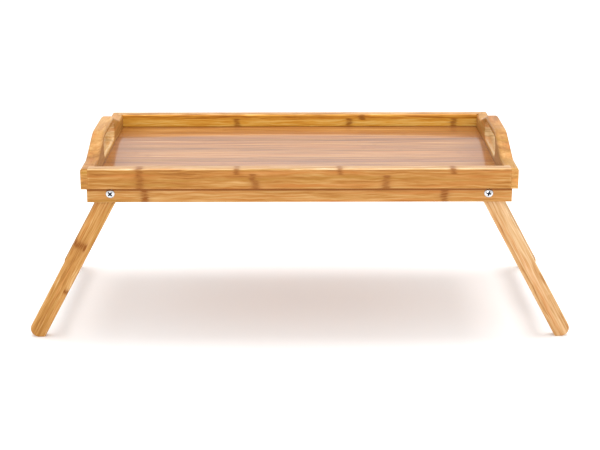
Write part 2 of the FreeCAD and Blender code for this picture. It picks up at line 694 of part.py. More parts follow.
def make_lock_nuts(label, side):
    body = add_body(label)
    hexagon = add_sketch(body, "XZ_Plane", NUT_SEAT)
    flat = "nut_flats / 2"
    point = "nut_flats / sqrt(3)"
    half_side = "nut_flats / sqrt(12)"
    right_half = [("0", "-" + point), (flat, "-" + half_side), (flat, half_side)]
    left_half = [("0", point), ("-" + flat, half_side), ("-" + flat, "-" + half_side)]
    draw_polygon(hexagon, right_half + left_half)
    draw_circle(hexagon, "0", "0", BORE)
    nut = extrude(body, "Pad", hexagon, "nut_height", flipped=True)
    ring = add_sketch(body, "XZ_Plane", NUT_SEAT + " - nut_height")
    draw_circle(ring, "0", "0", "collar_radius")
    draw_circle(ring, "0", "0", BORE)
    collar = extrude(body, "Pad", ring, "collar_height", flipped=True)
    mirror(body, [nut, collar], "XZ_Plane")
    place_on_pivot(body, side, tilted=False)


def check_and_export():
    doc.recompute()
    faults = [item.Name for item in doc.Objects if {"Invalid", "Error"} & set(item.State)]
    bodies = [item for item in doc.Objects if item.TypeId == "PartDesign::Body"]
    for body in bodies:
        if body.Shape.isNull() or not body.Shape.isValid() or body.Shape.Volume <= 0:
            faults.append(body.Label)
    if faults:
        raise ValueError("failed: " + ", ".join(faults))
    os.makedirs("parts", exist_ok=True)
    for body in bodies:
        body.Shape.exportStep("parts/%s.step" % body.Label)
        limits = body.Shape.BoundBox
        print("%-22s %2d solids %10.1f mm3  X %7.1f %7.1f  Y %7.1f %7.1f  Z %6.1f %6.1f" % (
            body.Label, len(body.Shape.Solids), body.Shape.Volume, limits.XMin, limits.XMax,
            limits.YMin, limits.YMax, limits.ZMin, limits.ZMax))


make_sheet()
make_rim_rail("front_rail")
turn_half(make_rim_rail("back_rail"))
make_side_panel("right_side_panel")
turn_half(make_side_panel("left_side_panel"))
make_floor()
make_corner_brads()
make_lower_rail("lower_front_rail")
turn_half(make_lower_rail("lower_back_rail"))
make_stop_rail("right_stop_rail")
turn_half(make_stop_rail("left_stop_rail"))
make_rail_screws()
make_stop_screws()
for name, side in (("left", -1), ("right", 1)):
    make_leg("front_%s_leg" % name, side, -1)
    make_leg("back_%s_leg" % name, side, 1)
    make_crossbar(name + "_crossbar", side)
    make_crossbar_dowels(name + "_crossbar_dowels", side)
    make_pivot_bolts(name + "_pivot_bolts", side)
    make_washers(name + "_spacer_washers", side, LEG_OUTER + " + side_play", "spacer_radius")
    make_washers(name + "_nut_washers", side, NUT_SEAT, "nut_washer_radius")
    make_lock_nuts(name + "_lock_nuts", side)
check_and_export()
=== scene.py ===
import json
import math
import bmesh
import bpy
from mathutils import Matrix, Vector


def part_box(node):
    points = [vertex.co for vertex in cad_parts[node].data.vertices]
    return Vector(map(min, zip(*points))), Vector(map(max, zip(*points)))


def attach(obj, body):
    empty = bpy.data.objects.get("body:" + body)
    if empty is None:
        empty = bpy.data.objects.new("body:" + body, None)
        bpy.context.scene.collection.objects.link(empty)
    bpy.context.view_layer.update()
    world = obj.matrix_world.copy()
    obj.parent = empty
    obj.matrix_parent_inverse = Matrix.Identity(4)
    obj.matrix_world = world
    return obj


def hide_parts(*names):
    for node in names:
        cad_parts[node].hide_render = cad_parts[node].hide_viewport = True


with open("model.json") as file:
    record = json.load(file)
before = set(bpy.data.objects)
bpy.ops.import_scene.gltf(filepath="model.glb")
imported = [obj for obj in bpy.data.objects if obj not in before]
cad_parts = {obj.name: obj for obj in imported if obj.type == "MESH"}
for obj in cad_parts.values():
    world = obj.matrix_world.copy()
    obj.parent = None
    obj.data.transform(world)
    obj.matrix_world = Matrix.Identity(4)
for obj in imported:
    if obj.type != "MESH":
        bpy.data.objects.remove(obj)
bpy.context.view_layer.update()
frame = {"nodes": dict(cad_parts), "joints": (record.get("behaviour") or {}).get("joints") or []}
nodes = frame["nodes"]
print("frame loaded")

# Camera, floor and lights; all lengths are in metres

viewPoint = {
    "place": (0.0039, -1.7211, 0.6247),
    "down": 16.99,  # degrees below the horizontal
    "turn": 0.12,
    "roll": 0.14,
    "lens": 85.67,
}

studio = {
    "floorSpan": 16.0,
    "floorColour": (0.97, 0.97, 0.97),
    "sky": (1.0, 1.0, 1.0),
    "skyStrength": 1.05,
    "keyPlace": (0.25, -2.4, 0.85),
    "keySize": 1.1,
    "keyPower": 28,
    "topPlace": (0.15, 0.25, 1.9),
    "topSize": 1.3,
    "topPower": 26,
}


def addCamera(look):
    data = bpy.data.cameras.new("camera")
    data.lens = look["lens"]
    data.sensor_width = 36
    data.clip_end = 50
    camera = bpy.data.objects.new("camera", data)
    bpy.context.scene.collection.objects.link(camera)
    turn = Matrix.Rotation(math.radians(look["turn"]), 3, "Z")
    tip = Matrix.Rotation(math.radians(90 - look["down"]), 3, "X")
    roll = Matrix.Rotation(math.radians(-look["roll"]), 3, "Z")
    camera.location = look["place"]
    camera.rotation_euler = (turn @ tip @ roll).to_euler()
    bpy.context.scene.camera = camera


def addLamp(name, place, aim, span, power):
    data = bpy.data.lights.new(name, "AREA")
    data.shape = "DISK"
    data.size = span
    data.energy = power
    lamp = bpy.data.objects.new(name, data)
    bpy.context.scene.collection.objects.link(lamp)
    lamp.location = place
    lamp.rotation_euler = (Vector(aim) - Vector(place)).to_track_quat("-Z", "Y").to_euler()


def addStudio(look):
    scene = bpy.context.scene
    scene.view_settings.view_transform = "Standard"
    scene.world = bpy.data.worlds.new("studioSky")
    scene.world.use_nodes = True
    sky = scene.world.node_tree.nodes["Background"]
    sky.inputs["Color"].default_value = (*look["sky"], 1)
    sky.inputs["Strength"].default_value = look["skyStrength"]
    aim = (0, 0, 0.15)
    addLamp("keyLamp", look["keyPlace"], aim, look["keySize"], look["keyPower"])
    addLamp("topLamp", look["topPlace"], aim, look["topSize"], look["topPower"])

    mesh = bpy.data.meshes.new("studioFloor")
    shape = bmesh.new()
    bmesh.ops.create_grid(shape, x_segments=4, y_segments=4, size=look["floorSpan"] / 2)
    shape.to_mesh(mesh)
    shape.free()
    floor = bpy.data.objects.new("studioFloor", mesh)
    scene.collection.objects.link(floor)
    material = bpy.data.materials.new("studioFloor")
    material.use_nodes = True
    paint = material.node_tree.nodes["Principled BSDF"]
    paint.inputs["Base Color"].default_value = (*look["floorColour"], 1)
    paint.inputs["Roughness"].default_value = 0.8
    mesh.materials.append(material)


addCamera(viewPoint)
addStudio(studio)
print("camera and studio ready")

# Small helpers for the materials' node trees


def plug(tree, socket, value):
    if isinstance(value, bpy.types.NodeSocket):
        tree.links.new(value, socket)
    else:
        socket.default_value = value


def calc(tree, operation, *values):
    node = tree.nodes.new("ShaderNodeMath")
    node.operation = operation
    for socket, value in zip(node.inputs, values):
        plug(tree, socket, value)
    return node.outputs[0]


def addAll(tree, first, *rest):
    for value in rest:
        first = calc(tree, "ADD", first, value)
    return first


def scaled(tree, noise, share):
    # The noise about its middle value, times its share.
    return calc(tree, "MULTIPLY", calc(tree, "SUBTRACT", noise, 0.5), share)


def joinAxes(tree, x, y, z):
    node = tree.nodes.new("ShaderNodeCombineXYZ")
    for socket, value in zip(node.inputs, (x, y, z)):
        plug(tree, socket, value)
    return node.outputs[0]


def noiseAt(tree, vector, detail, roughness=0.5):
    node = tree.nodes.new("ShaderNodeTexNoise")
    plug(tree, node.inputs["Vector"], vector)
    node.inputs["Scale"].default_value = 1
    node.inputs["Detail"].default_value = detail
    node.inputs["Roughness"].default_value = roughness
    return node.outputs["Fac"]


def fadeIn(tree, value, low, high):
    # 0 below low, 1 above high, smooth between.
    node = tree.nodes.new("ShaderNodeMapRange")
    node.interpolation_type = "SMOOTHSTEP"
    plug(tree, node.inputs["Value"], value)
    plug(tree, node.inputs["From Min"], low)
    plug(tree, node.inputs["From Max"], high)
    return node.outputs["Result"]


def fadeOut(tree, value, low, high):
    return calc(tree, "SUBTRACT", 1, fadeIn(tree, value, low, high))


def awayFrom(tree, value, place):
    return calc(tree, "ABSOLUTE", calc(tree, "SUBTRACT", value, place))


def mixColour(tree, factor, first, second):
    node = tree.nodes.new("ShaderNodeMix")
    node.data_type = "RGBA"
    plug(tree, node.inputs[0], factor)
    plug(tree, node.inputs[6], first)
    plug(tree, node.inputs[7], second)
    return node.outputs[2]


def toneRamp(tree, factor, stops):
    node = tree.nodes.new("ShaderNodeValToRGB")
    ramp = node.color_ramp
    while len(ramp.elements) < len(stops):
        ramp.elements.new(0.5)
    for element, (place, colour) in zip(ramp.elements, stops):
        element.position = place
        element.color = colour
    plug(tree, node.inputs["Fac"], factor)
    return node.outputs["Color"]


def fromScreen(red, green, blue):
    # A colour as a screen shows it, 0 to 255, as linear light.
    def straighten(part):
        part = part / 255
        return part / 12.92 if part <= 0.04045 else ((part + 0.055) / 1.055) ** 2.4

    return (straighten(red), straighten(green), straighten(blue), 1)


def addBump(tree, height, strength, depth):
    bump = tree.nodes.new("ShaderNodeBump")
    bump.inputs["Strength"].default_value = strength
    bump.inputs["Distance"].default_value = depth
    tree.links.new(height, bump.inputs["Height"])
    return bump


def newMaterial(name):
    material = bpy.data.materials.new(name)
    material.use_nodes = True
    tree = material.node_tree
    return material, tree, tree.nodes["Principled BSDF"]


# Laminated bamboo: glued strips, long fibres, short dark vessels, a dark ring at each joint of the cane

goldenTones = [
    (0.00, fromScreen(94, 50, 12)),
    (0.28, fromScreen(136, 84, 22)),
    (0.52, fromScreen(166, 113, 46)),
    (0.76, fromScreen(187, 140, 76)),
    (1.00, fromScreen(204, 162, 102)),
]
# Pale tones: the right legs' paler wood, and on the top faces of the rails a painted light from above.
paleTones = [
    (0.00, fromScreen(130, 84, 42)),
    (0.28, fromScreen(170, 124, 74)),
    (0.52, fromScreen(194, 155, 106)),
    (0.76, fromScreen(207, 173, 130)),
    (1.00, fromScreen(224, 198, 160)),
]
# Amber tones, for the back rail's inner face: the strips' own warmer colour, with painted warm bounce light
# from the floor on a face in shade.
amberTones = [
    (0.00, fromScreen(116, 62, 6)),
    (0.28, fromScreen(170, 106, 22)),
    (0.52, fromScreen(204, 141, 44)),
    (0.76, fromScreen(224, 168, 66)),
    (1.00, fromScreen(240, 198, 108)),
]
sandTones = [
    (0.00, fromScreen(104, 60, 22)),
    (0.28, fromScreen(146, 96, 38)),
    (0.52, fromScreen(173, 123, 60)),
    (0.76, fromScreen(191, 146, 86)),
    (1.00, fromScreen(214, 180, 130)),
]
rosyTones = [
    (0.00, fromScreen(88, 48, 24)),
    (0.28, fromScreen(124, 76, 36)),
    (0.52, fromScreen(155, 101, 49)),
    (0.76, fromScreen(177, 125, 70)),
    (1.00, fromScreen(198, 156, 110)),
]

bamboo = {
    "tones": goldenTones,
    "dark": fromScreen(122, 66, 0),
    "pink": fromScreen(188, 116, 52),
    "olive": fromScreen(150, 108, 24),
    "tint": 0.55,
    "grain": "x",  # the way the fibres run
    "across": "z",  # across the width of a strip
    "through": "y",  # from layer to layer
    "strip": 0.012,
    "layer": 0.005,
    "slide": (0.0, 0.0),  # where the first strip and the first layer start
    "wave": 0.003,
    "lift": 0.0,
    "stripContrast": 0.20,
    "streakContrast": 1.6,
    "depthScale": 1.0,  # how fast the grain changes from layer to layer
    "lengthScale": 1.0,  # how fast it changes along a fibre
    "patches": [],  # paler or darker places: middle, half sizes, lift
    "otherTones": [],  # tones that hold past a place: axis, place, tones
    "ringSpacing": 0.27,
    "ringWidth": 0.0,  # of the rings that fall by chance
    "ringStrength": 0.84,
    "rings": [],  # chosen rings: place along the grain, low and high across, half width
    "gluePart": 0.35,
    # Dark lines where it meets another piece, seams and painted shade in corners and under overhangs:
    # axis, place, solid width, whole width, strength, and how far they reach on the other axes.
    "corners": [],
    "sag": None,  # half length, half width and depth of a gentle hollow
    "seed": 1.0,
    "tilt": 0.0,
    "pivot": (0, 0, 0),
    "roughness": 0.42,
    "specular": 0.16,
    "coat": 0.12,
    "coatRoughness": 0.22,
}

# Each noise of the grain: scale along and across the fibres, detail and roughness
figures = {
    "broad": (5, 70, 2, 0.5),
    "streaks": (22, 430, 3, 0.62),
    "fibres": (40, 1900, 2, 0.5),
    "vessels": (70, 1500, 1, 0.5),
    "blots": (60, 480, 2, 0.6),
    "dashes": (90, 950, 2, 0.6),
    "warmth": (8, 210, 2, 0.5),
    "bends": (10, 90, 1, 0.5),
    "tears": (16, 760, 2, 0.5),
}
slowWave = {"along": 24, "across": 60}
patchBlur = 0.0006
tonesBlur = 0.0004
noRing = 9  # half widths, far enough from a ring to show nothing of it
wholeTurns = 40  # added to the count of ring spacings, so that it is never below zero


def pieceAxes(tree, look):
    # Places on the piece, in axes that lean with it, also by their part in the grain.
    place = tree.nodes.new("ShaderNodeMapping")
    place.vector_type = "TEXTURE"
    place.inputs["Location"].default_value = look["pivot"]
    place.inputs["Rotation"].default_value = (0, look["tilt"], 0)
    tree.links.new(tree.nodes.new("ShaderNodeTexCoord").outputs["Object"], place.inputs["Vector"])
    split = tree.nodes.new("ShaderNodeSeparateXYZ")
    tree.links.new(place.outputs["Vector"], split.inputs["Vector"])
    axes = dict(zip("xyz", split.outputs))
    for part in ("grain", "across", "through"):
        axes[part] = axes[look[part]]
    return axes


def countStrips(tree, look, axes):
    # The place among the strips and among the layers, and three chance numbers for each strip.
    stripPlace = calc(tree, "DIVIDE", calc(tree, "ADD", axes["across"], look["slide"][0]), look["strip"])
    layerPlace = calc(tree, "DIVIDE", calc(tree, "ADD", axes["through"], look["slide"][1]), look["layer"])
    dice = tree.nodes.new("ShaderNodeTexWhiteNoise")
    dice.noise_dimensions = "3D"
    numbers = (calc(tree, "FLOOR", stripPlace), calc(tree, "FLOOR", layerPlace), look["seed"])
    plug(tree, dice.inputs["Vector"], joinAxes(tree, *numbers))
    rolls = tree.nodes.new("ShaderNodeSeparateColor")
    tree.links.new(dice.outputs["Color"], rolls.inputs["Color"])
    return stripPlace, layerPlace, rolls.outputs


def growGrain(tree, look, axes, shiftRoll):
    # Noises stretched along the fibres, shifted from strip to strip and gently waved.
    along, across, through = axes["grain"], axes["across"], axes["through"]
    shift = calc(tree, "MULTIPLY_ADD", shiftRoll, 37.0, look["seed"])
    drift = calc(tree, "MULTIPLY_ADD", along, slowWave["along"], shift)
    slow = joinAxes(tree, drift, calc(tree, "MULTIPLY", across, slowWave["across"]), through)
    waved = calc(tree, "ADD", across, scaled(tree, noiseAt(tree, slow, 2), look["wave"] * 2))
    grain = {}
    for name, (alongScale, crossScale, detail, roughness) in figures.items():
        vector = joinAxes(
            tree,
            calc(tree, "MULTIPLY_ADD", along, alongScale * look["lengthScale"], shift),
            calc(tree, "MULTIPLY_ADD", waved, crossScale, shift),
            calc(tree, "MULTIPLY", through, crossScale * look["depthScale"]),
        )
        grain[name] = noiseAt(tree, vector, detail, roughness)
    grain["vessels"] = fadeIn(tree, grain["vessels"], 0.60, 0.74)
    grain["dashes"] = fadeIn(tree, grain["dashes"], 0.40, 0.62)
    return grain


def wearAndHighlightEdges(tree, look, axes, low, high, blots):
    # 1 close to the edges of the piece's box, broken up by the blots, and 1 at its sawn ends.
    nearest = []
    for axis, first, last in zip("xyz", low, high):
        off = awayFrom(tree, axes[axis], (first + last) / 2)
        nearest.append(calc(tree, "SUBTRACT", (last - first) / 2, off))
    firstPair = calc(tree, "MINIMUM", nearest[0], nearest[1])
    otherPair = calc(tree, "MAXIMUM", nearest[0], nearest[1])
    toEdge = calc(tree, "MAXIMUM", firstPair, calc(tree, "MINIMUM", otherPair, nearest[2]))
    edge = calc(tree, "MULTIPLY", fadeOut(tree, toEdge, 0.0004, 0.0030), fadeIn(tree, blots, 0.2, 0.6))
    sawn = fadeOut(tree, nearest["xyz".index(look["grain"])], 0.0001, 0.0008)
    return edge, sawn


def blendTone(tree, look, axes, grain, toneRoll, edge, sawn):
    # 0 for the darkest of the piece's tones and 1 for the palest.
    middleTone = 0.52 + look["lift"] - look["stripContrast"] / 2
    tone = addAll(
        tree,
        calc(tree, "MULTIPLY_ADD", toneRoll, look["stripContrast"], middleTone),
        scaled(tree, grain["broad"], 0.50),
        scaled(tree, grain["streaks"], look["streakContrast"]),
        scaled(tree, grain["fibres"], 0.30),
    )
    for middle, half, lift in look["patches"]:
        inside = lift
        for axis, centre, reach in zip("xyz", middle, half):
            off = awayFrom(tree, axes[axis], centre)
            cover = fadeOut(tree, off, reach - patchBlur, reach + patchBlur)
            inside = calc(tree, "MULTIPLY", inside, cover)
        tone = calc(tree, "ADD", tone, inside)
    # Edges are paler, partly from sanding and partly as a painted highlight on the rounded edges, and sawn
    # ends darker.
    return addAll(tree, tone, calc(tree, "MULTIPLY", edge, 0.13), calc(tree, "MULTIPLY", sawn, -0.10))


def tintWood(tree, look, axes, tone, warmth):
    colour = toneRamp(tree, tone, look["tones"])
    for axis, start, tones in look["otherTones"]:
        past = fadeIn(tree, axes[axis], start - tonesBlur, start + tonesBlur)
        colour = mixColour(tree, past, colour, toneRamp(tree, tone, tones))
    pinkCover, oliveCover = fadeIn(tree, warmth, 0.50, 0.72), fadeOut(tree, warmth, 0.28, 0.48)
    for cover, wash in ((pinkCover, look["pink"]), (oliveCover, look["olive"])):
        colour = mixColour(tree, calc(tree, "MULTIPLY", cover, look["tint"]), colour, wash)
    return colour


def ringCane(tree, look, axes, grain, ringRoll):
    # The distance from the nearest ring, in half widths: a run of rings by chance, and chosen ones.
    bent, torn = scaled(tree, grain["bends"], 0.002), scaled(tree, grain["tears"], 0.007)
    ragged = addAll(tree, axes["grain"], bent, torn)
    away = calc(tree, "ADD", noRing, 0)
    if look["ringWidth"]:
        turn = calc(tree, "ADD", calc(tree, "DIVIDE", ragged, look["ringSpacing"]), ringRoll)
        turn = calc(tree, "FRACT", calc(tree, "ADD", turn, wholeTurns + 0.5))
        away = calc(tree, "MULTIPLY", awayFrom(tree, turn, 0.5), look["ringSpacing"] / look["ringWidth"])
    for spot, first, last, width in look["rings"]:
        off = calc(tree, "DIVIDE", awayFrom(tree, ragged, spot), width)
        under = fadeOut(tree, axes["across"], first - 0.001, first)
        over = fadeIn(tree, axes["across"], last, last + 0.001)
        off = calc(tree, "MULTIPLY_ADD", calc(tree, "ADD", under, over), noRing, off)
        away = calc(tree, "MINIMUM", away, off)
    # A dashed core and a faint halo.
    dashed = calc(tree, "MULTIPLY_ADD", grain["dashes"], 0.65, 0.45)
    core = calc(tree, "MULTIPLY", fadeOut(tree, away, 0.1, 1.5), dashed)
    streaked = fadeIn(tree, grain["streaks"], 0.42, 0.64)
    halo = calc(tree, "MULTIPLY", fadeOut(tree, away, 0.6, 2.8), streaked)
    return calc(tree, "MINIMUM", calc(tree, "MULTIPLY_ADD", halo, 0.45, core), 1)


def glueLines(tree, look, stripPlace, layerPlace):
    # 1 on the glue between two strips or two layers.
    gaps = []
    for position, width in ((stripPlace, look["strip"]), (layerPlace, look["layer"])):
        middle = awayFrom(tree, calc(tree, "FRACT", position), 0.5)
        gaps.append(calc(tree, "MULTIPLY", calc(tree, "SUBTRACT", 0.5, middle), width))
    return fadeOut(tree, calc(tree, "MINIMUM", *gaps), 0.00006, 0.00035)


def stainSeamsAndShade(tree, look, axes, glue, vessels):
    # Glue lines, vessels, and the dark lines where pieces meet, which are seams and painted shade.
    glueStain = calc(tree, "MULTIPLY", glue, look["gluePart"])
    stainAndShade = calc(tree, "MAXIMUM", glueStain, calc(tree, "MULTIPLY", vessels, 0.24))
    for axis, spot, solid, width, strength, inside in look["corners"]:
        off = awayFrom(tree, axes[axis], spot)
        line = calc(tree, "MULTIPLY", fadeOut(tree, off, solid, width), strength)
        for side, reach in inside:
            beyond = calc(tree, "GREATER_THAN", calc(tree, "ABSOLUTE", axes[side]), reach)
            line = calc(tree, "MULTIPLY", line, calc(tree, "SUBTRACT", 1, beyond))
        stainAndShade = calc(tree, "MAXIMUM", stainAndShade, line)
    return stainAndShade


def hollowOut(tree, look, axes):
    # The normal of a face that sags gently to its middle.
    halfLength, halfWidth, depth = look["sag"]
    level = -depth
    for part, half in ((axes["grain"], halfLength), (axes["across"], halfWidth)):
        share = calc(tree, "DIVIDE", part, half)
        bowl = calc(tree, "SUBTRACT", 1, calc(tree, "MULTIPLY", share, share))
        level = calc(tree, "MULTIPLY", level, bowl)
    return addBump(tree, level, 1.0, 1.0).outputs["Normal"]


def lacquer(tree, shader, look, axes, grain, edge, glue, ring):
    # Lacquer over slightly open grain.
    rough = addAll(
        tree,
        look["roughness"],
        scaled(tree, grain["broad"], 0.16),
        calc(tree, "MULTIPLY", grain["vessels"], 0.10),
        calc(tree, "MULTIPLY", edge, 0.08),
    )
    tree.links.new(rough, shader.inputs["Roughness"])
    shader.inputs["Specular IOR Level"].default_value = look["specular"]
    shader.inputs["Coat Weight"].default_value = look["coat"]
    shader.inputs["Coat Roughness"].default_value = look["coatRoughness"]
    relief = [
        (grain["fibres"], 0.25),
        (grain["streaks"], 0.6),
        (glue, -0.45),
        (grain["vessels"], -0.30),
        (ring, 0.30),
    ]
    height = addAll(tree, *(calc(tree, "MULTIPLY", part, share) for part, share in relief))
    grained = addBump(tree, height, 0.35, 0.00025)
    tree.links.new(grained.outputs["Normal"], shader.inputs["Normal"])
    if look["sag"]:
        hollow = hollowOut(tree, look, axes)
        tree.links.new(hollow, grained.inputs["Normal"])
        tree.links.new(hollow, shader.inputs["Coat Normal"])


def makeBamboo(name, low, high, **changes):
    look = {**bamboo, **changes}
    material, tree, shader = newMaterial(name)
    axes = pieceAxes(tree, look)
    stripPlace, layerPlace, (toneRoll, ringRoll, shiftRoll) = countStrips(tree, look, axes)
    grain = growGrain(tree, look, axes, shiftRoll)
    edge, sawn = wearAndHighlightEdges(tree, look, axes, low, high, grain["blots"])
    tone = blendTone(tree, look, axes, grain, toneRoll, edge, sawn)
    colour = tintWood(tree, look, axes, tone, grain["warmth"])
    ring = ringCane(tree, look, axes, grain, ringRoll)
    colour = mixColour(tree, calc(tree, "MULTIPLY", ring, look["ringStrength"]), colour, look["dark"])
    glue = glueLines(tree, look, stripPlace, layerPlace)
    stainAndShade = stainSeamsAndShade(tree, look, axes, glue, grain["vessels"])
    colour = mixColour(tree, stainAndShade, colour, look["dark"])
    tree.links.new(colour, shader.inputs["Base Color"])
    lacquer(tree, shader, look, axes, grain, edge, glue, ring)
    return material


def dressNode(name, material):
    node = nodes[name]
    if not node.material_slots:
        node.data.materials.append(material)
    for slot in node.material_slots:
        slot.material = material


def dressBoard(name, **changes):
    low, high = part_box(name)
    dressNode(name, makeBamboo(name + "_bamboo", low, high, **changes))


rimLow, rimHigh = (corner.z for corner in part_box("front_rail"))
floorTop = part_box("tray_panel")[1].z
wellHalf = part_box("right_side_panel")[0].x
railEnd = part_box("front_rail")[1].x
railOuter, railInner = (-corner.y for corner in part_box("front_rail"))
endLines = [("x", -railEnd, 0.0001, 0.0005, 0.14, ()), ("x", railEnd, 0.0001, 0.0005, 0.14, ())]
inWell = (("x", wellHalf + 0.0005), ("y", railInner + 0.0005))

frontRail = {
    "strip": 0.024,
    "slide": (-rimLow, 0.0),
    "seed": 3.0,
    "rings": [
        (-0.183, rimHigh - 0.011, rimHigh + 0.001, 0.0042),
        (-0.182, rimLow, rimHigh - 0.010, 0.0044),
        (-0.053, rimHigh - 0.015, rimHigh - 0.006, 0.0040),
        (-0.050, rimLow, rimHigh - 0.014, 0.0044),
        (0.099, rimLow, rimHigh - 0.008, 0.0042),
        (-0.071, rimHigh - 0.007, rimHigh + 0.001, 0.0034),
        (0.046, rimHigh - 0.007, rimHigh + 0.001, 0.0034),
        (0.175, rimHigh - 0.007, rimHigh + 0.001, 0.0034),
    ],
    # The top face takes the pale tones and a paler band along its top: painted light and highlight from
    # above.
    "otherTones": [("z", rimHigh - 0.0014, paleTones)],
    "patches": [((0, 0, rimHigh), (1, 1, 0.0014), 0.10)],
    # A seam line at each end, and a painted shadow line along the bottom edge, over the gap to the lower
    # rail.
    "corners": endLines + [("z", rimLow, 0.0002, 0.0012, 0.6, ())],
}
dressBoard("front_rail", **frontRail)

backRail = {
    "strip": 0.0115,
    "slide": (-rimHigh + 0.006, 0.0),
    "seed": 7.0,
    # The inner face takes amber tones lifted paler: its strips' warmer colour plus painted warm bounce
    # light on a face in shade.
    "tones": amberTones,
    "lift": 0.24,
    "tint": 0.15,
    # Golden tones outside the inner face; the top face takes the pale tones, a painted light from above.
    "otherTones": [("y", railInner + 0.0020, goldenTones), ("z", rimHigh - 0.0010, paleTones)],
    "specular": 0.12,
    "coat": 0.05,
    "rings": [
        (-0.083, rimLow, rimHigh - 0.006, 0.0042),
        (0.083, rimHigh - 0.008, rimHigh - 0.001, 0.0040),
        (0.066, rimLow, rimHigh - 0.006, 0.0042),
        (0.205, rimLow, rimHigh - 0.006, 0.0042),
    ],
    # The darker upper strip of the inner face; the top face toned down from its painted light; the outer
    # part darkened to undo the lift painted on the inner face.
    "patches": [
        ((0, railInner, rimHigh - 0.0045), (1, 0.0020, 0.0030), -0.20),
        ((0, 0, rimHigh), (1, 1, 0.0010), -0.42),
        ((0, railOuter, rimLow), (1, 0.0130, rimHigh - rimLow - 0.0010), -0.20),
    ],
    # Seam lines at the ends, and a painted shade line where the floor meets the inner face.
    "corners": endLines + [("z", floorTop, 0.0004, 0.0020, 0.8, inWell)],
}
dressBoard("back_rail", **backRail)

sidePanel = {
    "grain": "y",
    "through": "x",
    "strip": 0.015,
    "layer": 0.07,
    "slide": (-rimLow, 0.0),
    "tones": sandTones,
    "depthScale": 0.20,
    "lift": -0.02,
    "ringWidth": 0.0030,
    "ringSpacing": 0.35,
    "ringStrength": 0.45,
    "streakContrast": 1.0,
    # Seam lines at the ends, and a painted shade line where the floor meets the inner face.
    "corners": endLines + [("z", floorTop, 0.0004, 0.0018, 0.6, inWell)],
}
handHole = {"middle": (0, rimHigh - 0.001), "half": (0.0068, 0.055, 0.0125)}
lipFaces = [((0, end * railOuter, 0), (1, 0.0008, 1), 0.06) for end in (-1, 1)]
for name, seed, paler in (("left_side_panel", 11.0, 0.38), ("right_side_panel", 17.0, 0.60)):
    low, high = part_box(name)
    middle = ((low.x + high.x) / 2, *handHole["middle"])
    # Painted light: the walls of the hand hole lifted paler, standing in for the light that reaches in
    # through it.
    paintedHoleLight = (middle, handHole["half"], paler)
    dressBoard(name, seed=seed, patches=[paintedHoleLight] + lipFaces, **sidePanel)

trayFloor = {
    "across": "y",
    "through": "z",
    "strip": 0.0135,
    "layer": 0.02,
    "wave": 0.0004,
    "lengthScale": 0.4,
    "seed": 21.0,
    "tones": rosyTones,
    "lift": -0.10,
    "tint": 0.45,
    "ringWidth": 0.0030,
    "ringStrength": 0.22,
    "ringSpacing": 0.40,
    "gluePart": 0.18,
    "stripContrast": 0.26,
    "streakContrast": 1.9,
    # Painted shade: thin lines where the floor meets the side panels and the back rail, and broader shade
    # over the floor near the side panels and along the back rail.
    "corners": [
        ("x", -wellHalf, 0.0004, 0.0016, 0.6, ()),
        ("x", wellHalf, 0.0004, 0.0016, 0.6, ()),
        ("x", -wellHalf, 0.0, 0.060, 0.50, ()),
        ("x", wellHalf, 0.0, 0.060, 0.50, ()),
        ("y", railInner, 0.0004, 0.0016, 0.6, ()),
        ("y", railInner, 0.0, 0.030, 0.20, ()),
    ],
    "sag": (wellHalf, railInner, 0.0055),
    "roughness": 0.40,
    "coat": 0.63,
    "coatRoughness": 0.10,
}
dressBoard("tray_panel", **trayFloor)

lowerLow, lowerHigh = (corner.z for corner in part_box("lower_front_rail"))
# A painted shadow along the top of the lower rails, where the rim above overhangs them.
underRimShade = [("z", lowerHigh, 0.0024, 0.0044, 1.0, ())]
lowerRail = {
    "strip": 0.0085,
    "slide": (-lowerLow, 0.0),
    "seed": 25.0,
    "lift": 0.18,
    "ringStrength": 1.0,
    "rings": [(-0.178, lowerLow, lowerHigh, 0.0042), (0.166, lowerLow, lowerHigh, 0.0042)],
    "corners": underRimShade,
}
dressBoard("lower_front_rail", **lowerRail)
hiddenRail = {"strip": 0.0085, "slide": (-lowerLow, 0.0), "ringWidth": 0.003, "corners": underRimShade}
dressBoard("lower_back_rail", seed=29.0, **hiddenRail)
stopRail = {"grain": "y", "through": "x", "strip": 0.0085, "ringWidth": 0.0028, "corners": underRimShade}
dressBoard("left_stop_rail", seed=31.0, **stopRail)
dressBoard("right_stop_rail", seed=35.0, **stopRail)

# The leg frames, in axes that start at the pivot and run along the open leg

splay = math.radians(28.6)
legHalf = 0.0103
legReach = 0.212  # pivot to the lowest corner of a foot, along the leg
leg = {"strip": 0.005, "slide": (0.0005, 0.0), "layer": 0.006, "gluePart": 0.2, "tint": 0.4}
legTones = {"left": sandTones, "right": paleTones}
legChanges = {
    "front_left_leg": {
        "rings": [(-0.0775, -legHalf - 0.001, 0.0045, 0.0046), (-0.137, 0.0045, legHalf + 0.001, 0.0026)],
        "ringStrength": 1.0,
    },
    "front_right_leg": {
        "patches": [
            ((0.0088, 0, -0.170), (0.0016, 1, 0.050), -0.16),
            ((0.0070, 0, -0.185), (0.0034, 1, 0.035), -0.12),
        ],
    },
    "back_left_leg": {"ringWidth": 0.0028},
    "back_right_leg": {"ringWidth": 0.0028},
}
crossbar = {"grain": "y", "across": "z", "through": "x", "strip": 0.01, "ringWidth": 0.0026}
crossbarSize = {"halfThick": 0.006, "top": -0.130, "bottom": -0.150}
dowel = {"grain": "y", "across": "z", "through": "x", "strip": 0.05, "layer": 0.05, "seed": 59.0}

